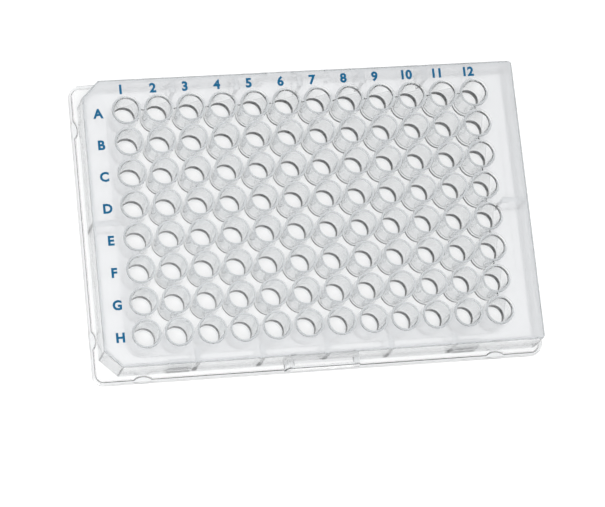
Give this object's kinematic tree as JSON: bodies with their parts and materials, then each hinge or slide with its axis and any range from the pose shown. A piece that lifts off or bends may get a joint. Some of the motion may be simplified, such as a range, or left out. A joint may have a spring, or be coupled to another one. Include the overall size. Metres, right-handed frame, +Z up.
{
  "type": "well plate",
  "caption": "Clear moulded laboratory tray: a grid of flat-bottomed wells standing as separate tubes on one low web, inside a frosted deck border, with a leaning skirt, a flanged foot and two cut corners.",
  "frame": {"origin": "middle of the foot's footprint, on the surface the plate stands on", "axes": "+X along the long side from column 1 to the last column, +Y along the short side towards row A, +Z up, out of the wells' mouths"},
  "size_m": [0.1278, 0.0854, 0.0143],
  "materials": {
    "clear_polystyrene": "clear and glossy, with a finely frosted deck border",
    "print": "flat printed ink"
  },
  "bodies": {
    "root": {"plate": "clear_polystyrene"}
  },
  "joints": []
}
